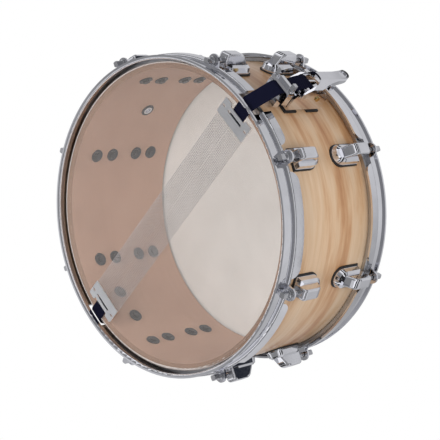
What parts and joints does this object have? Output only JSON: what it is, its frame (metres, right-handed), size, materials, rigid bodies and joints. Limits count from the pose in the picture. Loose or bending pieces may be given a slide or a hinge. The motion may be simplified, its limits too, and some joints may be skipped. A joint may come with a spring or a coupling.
{
  "type": "snare drum",
  "caption": "Wooden snare drum with flanged metal rims, tension rods, a clear snare head with coiled wires on straps, and a lever throw-off.",
  "frame": {"origin": "centre of the plane that the snare-side rim rests on", "axes": "+Z is the drum axis, from the snare side up to the batter head; -Y points out through the throw-off lever and +Y out through the butt plate; -X points out through the air vent"},
  "size_m": [0.376, 0.4287, 0.181],
  "materials": {
    "black_rubber": "matt",
    "brass": "plain",
    "chrome": "polished",
    "clear_film": "clear glossy polyester film",
    "coated_film": "sprayed matt coating on polyester film",
    "dark_steel": "dark oxide",
    "hoop_alloy": "satin",
    "plated_steel": "plated, slightly dull",
    "satin_steel": "satin nickel plate",
    "shell_wood": "satin lacquered maple",
    "snare_wire": "drawn steel wire",
    "strap_weave": "woven nylon tape"
  },
  "bodies": {
    "drum": {"batter_flesh_hoop": "hoop_alloy", "batter_head": "coated_film", "batter_hoop": "chrome", "batter_lugs": "chrome", "butt_base": "chrome", "butt_clamp": "chrome", "butt_clamp_screws": "plated_steel", "butt_gasket": "black_rubber", "butt_screws": "dark_steel", "guide_pins": "brass", "lug_gaskets": "black_rubber", "lug_nuts": "plated_steel", "lug_screws": "dark_steel", "lug_washers": "dark_steel", "rod_washers": "plated_steel", "shell": "shell_wood", "snare_flesh_hoop": "hoop_alloy", "snare_head": "clear_film", "snare_hoop": "chrome", "snare_lugs": "chrome", "strainer_base": "chrome", "strainer_gaskets": "black_rubber", "strainer_screws": "dark_steel", "vent_grommet": "chrome", "vent_washer": "dark_steel"},
    "lever": {"throw_lever": "chrome", "throw_crank": "plated_steel", "lever_stop": "chrome"},
    "carriage": {"carriage": "chrome"},
    "jaw": {"clamp_jaw": "chrome", "clamp_plate": "chrome", "clamp_screws": "plated_steel"},
    "knob": {"tension_knob": "chrome", "tension_screw": "plated_steel"},
    "snares": {"snare_coils": "snare_wire", "front_plate": "satin_steel", "rear_plate": "satin_steel", "strap_rear": "strap_weave", "strap_front": "strap_weave"},
    "rod_batter_1": {"rod_batter_1": "plated_steel"},
    "rod_batter_2": {"rod_batter_2": "plated_steel"},
    "rod_batter_3": {"rod_batter_3": "plated_steel"},
    "rod_batter_4": {"rod_batter_4": "plated_steel"},
    "rod_batter_5": {"rod_batter_5": "plated_steel"},
    "rod_batter_6": {"rod_batter_6": "plated_steel"},
    "rod_batter_7": {"rod_batter_7": "plated_steel"},
    "rod_batter_8": {"rod_batter_8": "plated_steel"},
    "rod_snare_1": {"rod_snare_1": "plated_steel"},
    "rod_snare_2": {"rod_snare_2": "plated_steel"},
    "rod_snare_3": {"rod_snare_3": "plated_steel"},
    "rod_snare_4": {"rod_snare_4": "plated_steel"},
    "rod_snare_5": {"rod_snare_5": "plated_steel"},
    "rod_snare_6": {"rod_snare_6": "plated_steel"},
    "rod_snare_7": {"rod_snare_7": "plated_steel"},
    "rod_snare_8": {"rod_snare_8": "plated_steel"}
  },
  "joints": [
    {"name": "lever_throw", "type": "hinge", "parent": "drum", "child": "lever", "pos_m": [0, -0.204, 0.074], "axis": [1, 0, 0], "range_deg": [0, 90]},
    {"name": "carriage_slide", "type": "slide", "parent": "drum", "child": "carriage", "axis": [0, 0, 1], "range_m": [-0.0072, 0]},
    {"name": "snares_drop", "type": "slide", "parent": "carriage", "child": "snares", "axis": [0, 0, 1], "range_m": [0, 0.0059], "deforming": ["strap_front"]},
    {"name": "knob_turn", "type": "hinge", "parent": "carriage", "child": "knob", "pos_m": [0, -0.1898, 0.053], "axis": [0, 0, 1], "range_deg": [-361, 361]},
    {"name": "jaw_slide", "type": "slide", "parent": "carriage", "child": "jaw", "axis": [0, 0, 1], "range_m": [-0.0007, 0.0007]},
    {"name": "rod_batter_1_turn", "type": "hinge", "parent": "drum", "child": "rod_batter_1", "pos_m": [0.17692, 0.07328, 0.1507], "axis": [0, 0, 1], "continuous": true},
    {"name": "rod_batter_2_turn", "type": "hinge", "parent": "drum", "child": "rod_batter_2", "pos_m": [0.07328, 0.17692, 0.1507], "axis": [0, 0, 1], "continuous": true},
    {"name": "rod_batter_3_turn", "type": "hinge", "parent": "drum", "child": "rod_batter_3", "pos_m": [-0.07328, 0.17692, 0.1507], "axis": [0, 0, 1], "continuous": true},
    {"name": "rod_batter_4_turn", "type": "hinge", "parent": "drum", "child": "rod_batter_4", "pos_m": [-0.17692, 0.07328, 0.1507], "axis": [0, 0, 1], "continuous": true},
    {"name": "rod_batter_5_turn", "type": "hinge", "parent": "drum", "child": "rod_batter_5", "pos_m": [-0.17692, -0.07328, 0.1507], "axis": [0, 0, 1], "continuous": true},
    {"name": "rod_batter_6_turn", "type": "hinge", "parent": "drum", "child": "rod_batter_6", "pos_m": [-0.07328, -0.17692, 0.1507], "axis": [0, 0, 1], "continuous": true},
    {"name": "rod_batter_7_turn", "type": "hinge", "parent": "drum", "child": "rod_batter_7", "pos_m": [0.07328, -0.17692, 0.1507], "axis": [0, 0, 1], "continuous": true},
    {"name": "rod_batter_8_turn", "type": "hinge", "parent": "drum", "child": "rod_batter_8", "pos_m": [0.17692, -0.07328, 0.1507], "axis": [0, 0, 1], "continuous": true},
    {"name": "rod_snare_1_turn", "type": "hinge", "parent": "drum", "child": "rod_snare_1", "pos_m": [0.17692, 0.07328, 0.0303], "axis": [0, 0, 1], "continuous": true},
    {"name": "rod_snare_2_turn", "type": "hinge", "parent": "drum", "child": "rod_snare_2", "pos_m": [0.07328, 0.17692, 0.0303], "axis": [0, 0, 1], "continuous": true},
    {"name": "rod_snare_3_turn", "type": "hinge", "parent": "drum", "child": "rod_snare_3", "pos_m": [-0.07328, 0.17692, 0.0303], "axis": [0, 0, 1], "continuous": true},
    {"name": "rod_snare_4_turn", "type": "hinge", "parent": "drum", "child": "rod_snare_4", "pos_m": [-0.17692, 0.07328, 0.0303], "axis": [0, 0, 1], "continuous": true},
    {"name": "rod_snare_5_turn", "type": "hinge", "parent": "drum", "child": "rod_snare_5", "pos_m": [-0.17692, -0.07328, 0.0303], "axis": [0, 0, 1], "continuous": true},
    {"name": "rod_snare_6_turn", "type": "hinge", "parent": "drum", "child": "rod_snare_6", "pos_m": [-0.07328, -0.17692, 0.0303], "axis": [0, 0, 1], "continuous": true},
    {"name": "rod_snare_7_turn", "type": "hinge", "parent": "drum", "child": "rod_snare_7", "pos_m": [0.07328, -0.17692, 0.0303], "axis": [0, 0, 1], "continuous": true},
    {"name": "rod_snare_8_turn", "type": "hinge", "parent": "drum", "child": "rod_snare_8", "pos_m": [0.17692, -0.07328, 0.0303], "axis": [0, 0, 1], "continuous": true}
  ],
  "couplings": [
    {"joint": "carriage_slide", "follows": "lever_throw", "m_per_rad": -0.0045},
    {"joint": "snares_drop", "follows": "lever_throw", "m_per_rad": 0.00373},
    {"joint": "knob_turn", "follows": "jaw_slide", "rad_per_m": 8976}
  ]
}
